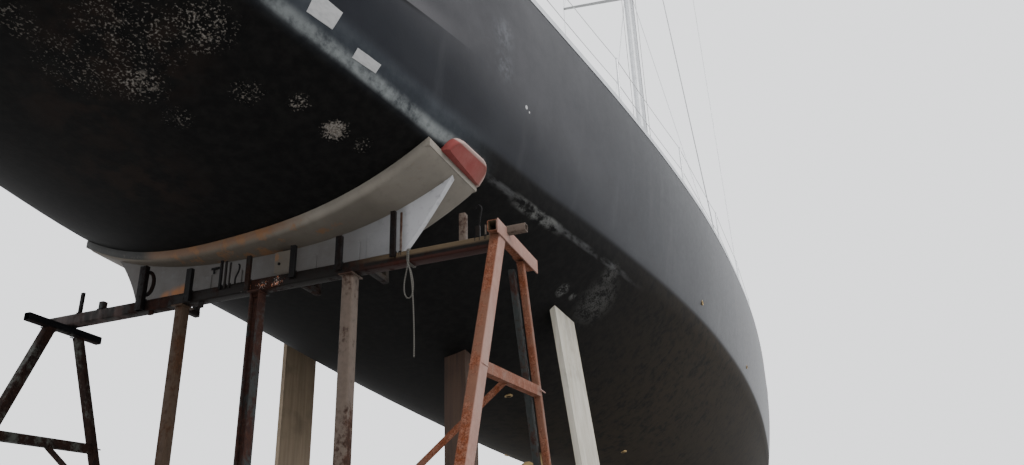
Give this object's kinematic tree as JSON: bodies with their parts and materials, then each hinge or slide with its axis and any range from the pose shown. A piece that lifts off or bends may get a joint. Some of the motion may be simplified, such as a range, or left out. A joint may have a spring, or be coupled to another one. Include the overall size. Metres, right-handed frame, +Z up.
{
  "type": "sailing yacht laid up on its cradle",
  "caption": "Large racing sloop laid up ashore on keel blocks, a moulded saddle, trestles and shores, with its mast stepped.",
  "frame": {"origin": "ground level under the middle of the hull's length", "axes": "+X to the bow, +Y to port, +Z up"},
  "size_m": [25, 4.5307, 31.5],
  "materials": {
    "hull_paint": "dull dark blue enamel over black bottom paint, rubbed and blistered",
    "deck_paint": "off-white non-slip deck paint",
    "keel_lead": "cast lead under black bottom paint",
    "smoked_acrylic": "smoked acrylic",
    "bronze": "dull cast bronze",
    "anodised_alloy": "anodised, weathered",
    "stainless": "polished stainless, dulled",
    "grp_moulding": "moulded glass-fibre, chalky, rust stained",
    "red_rubber": "faded red rubber",
    "rusty_steel": "rusty mild steel with old paint",
    "rope": "off-white laid rope, grubby",
    "timber": "weathered sawn timber"
  },
  "bodies": {
    "laid_up_yacht": {"backstay": "stainless", "bow_chock": "timber", "bow_stand_port": "timber", "bow_stand_starboard": "timber", "centre_post": "timber", "coachroof": "deck_paint", "cross_beam": "rusty_steel", "forestay": "stainless", "gooseneck": "stainless", "guardrail_port": "stainless", "guardrail_starboard": "stainless", "halyard_winch_port": "stainless", "halyard_winch_starboard": "stainless", "hanging_rope": "rope", "hull": "hull_paint", "keel_block_aft": "timber", "keel_block_fore": "timber", "keel_bulb": "keel_lead", "keel_fin": "hull_paint", "mainsheet_track": "anodised_alloy", "mast": "anodised_alloy", "pad_starboard": "red_rubber", "pedestal_port": "deck_paint", "pedestal_starboard": "deck_paint", "post_1": "rusty_steel", "post_2": "rusty_steel", "post_3": "rusty_steel", "primary_winch_port": "stainless", "primary_winch_starboard": "stainless", "pulpit": "stainless", "pushpit": "stainless", "running_winch_port": "stainless", "running_winch_starboard": "stainless", "saddle_band": "grp_moulding", "saddle_web": "grp_moulding", "shaft_bracket": "bronze", "shore_board_port": "timber", "shore_plank_starboard": "timber", "shroud_port": "stainless", "shroud_starboard": "stainless", "spreaders_lower": "anodised_alloy", "spreaders_upper": "anodised_alloy", "trestle_port": "rusty_steel", "trestle_starboard": "rusty_steel"},
    "rudder": {"rudder": "hull_paint"},
    "propeller": {"propeller": "bronze", "propeller_shaft": "stainless"},
    "wheel_port": {"wheel_port": "stainless"},
    "wheel_starboard": {"wheel_starboard": "stainless"},
    "boom": {"boom": "anodised_alloy"},
    "lazarette_hatch": {"lazarette_hatch": "smoked_acrylic"},
    "saloon_hatch": {"saloon_hatch": "smoked_acrylic"},
    "cabin_hatch": {"cabin_hatch": "smoked_acrylic"},
    "fore_hatch": {"fore_hatch": "smoked_acrylic"},
    "companionway_slide": {"companionway_slide": "smoked_acrylic"},
    "companionway_door_port": {"companionway_door_port": "deck_paint"},
    "companionway_door_starboard": {"companionway_door_starboard": "deck_paint"}
  },
  "joints": [
    {"name": "rudder_steer", "type": "hinge", "parent": "laid_up_yacht", "child": "rudder", "pos_m": [-11.5, 0, 4.5939], "axis": [0.165, 0, 0.9863], "range_deg": [-35, 35]},
    {"name": "propeller_turn", "type": "hinge", "parent": "laid_up_yacht", "child": "propeller", "pos_m": [-4, 0, 2.96], "axis": [0.9903, 0, 0.1392], "continuous": true},
    {"name": "wheel_port_turn", "type": "hinge", "parent": "laid_up_yacht", "child": "wheel_port", "pos_m": [-9.45, 0.6, 6.56], "axis": [1, 0, 0], "range_deg": [-315, 315]},
    {"name": "wheel_starboard_turn", "type": "hinge", "parent": "laid_up_yacht", "child": "wheel_starboard", "pos_m": [-9.45, -0.6, 6.56], "axis": [1, 0, 0], "range_deg": [-315, 315]},
    {"name": "boom_swing", "type": "hinge", "parent": "laid_up_yacht", "child": "boom", "pos_m": [2.415, 0, 8.15], "axis": [0, 0, 1], "range_deg": [-78, 78]},
    {"name": "lazarette_hatch_lift", "type": "hinge", "parent": "laid_up_yacht", "child": "lazarette_hatch", "pos_m": [-10.725, 0, 6.3929], "axis": [0, 1, 0], "range_deg": [0, 100]},
    {"name": "saloon_hatch_lift", "type": "hinge", "parent": "laid_up_yacht", "child": "saloon_hatch", "pos_m": [-2.375, 0, 6.9072], "axis": [0, 1, 0], "range_deg": [0, 100]},
    {"name": "cabin_hatch_lift", "type": "hinge", "parent": "laid_up_yacht", "child": "cabin_hatch", "pos_m": [0.325, 0, 6.8523], "axis": [0, 1, 0], "range_deg": [0, 100]},
    {"name": "fore_hatch_lift", "type": "hinge", "parent": "laid_up_yacht", "child": "fore_hatch", "pos_m": [6.655, 0, 6.6495], "axis": [0, 1, 0], "range_deg": [0, 100]},
    {"name": "companionway_slide_travel", "type": "slide", "parent": "laid_up_yacht", "child": "companionway_slide", "axis": [1, 0, 0], "range_m": [0, 0.62]},
    {"name": "companionway_door_port_swing", "type": "hinge", "parent": "laid_up_yacht", "child": "companionway_door_port", "pos_m": [-6.0285, 0.41, 6.4072], "axis": [0, 0, -1], "range_deg": [0, 110]},
    {"name": "companionway_door_starboard_swing", "type": "hinge", "parent": "laid_up_yacht", "child": "companionway_door_starboard", "pos_m": [-6.0285, -0.41, 6.4072], "axis": [0, 0, 1], "range_deg": [0, 110]}
  ],
  "couplings": [
    {"joint": "wheel_port_turn", "follows": "rudder_steer", "ratio": 9},
    {"joint": "wheel_starboard_turn", "follows": "rudder_steer", "ratio": 9}
  ]
}
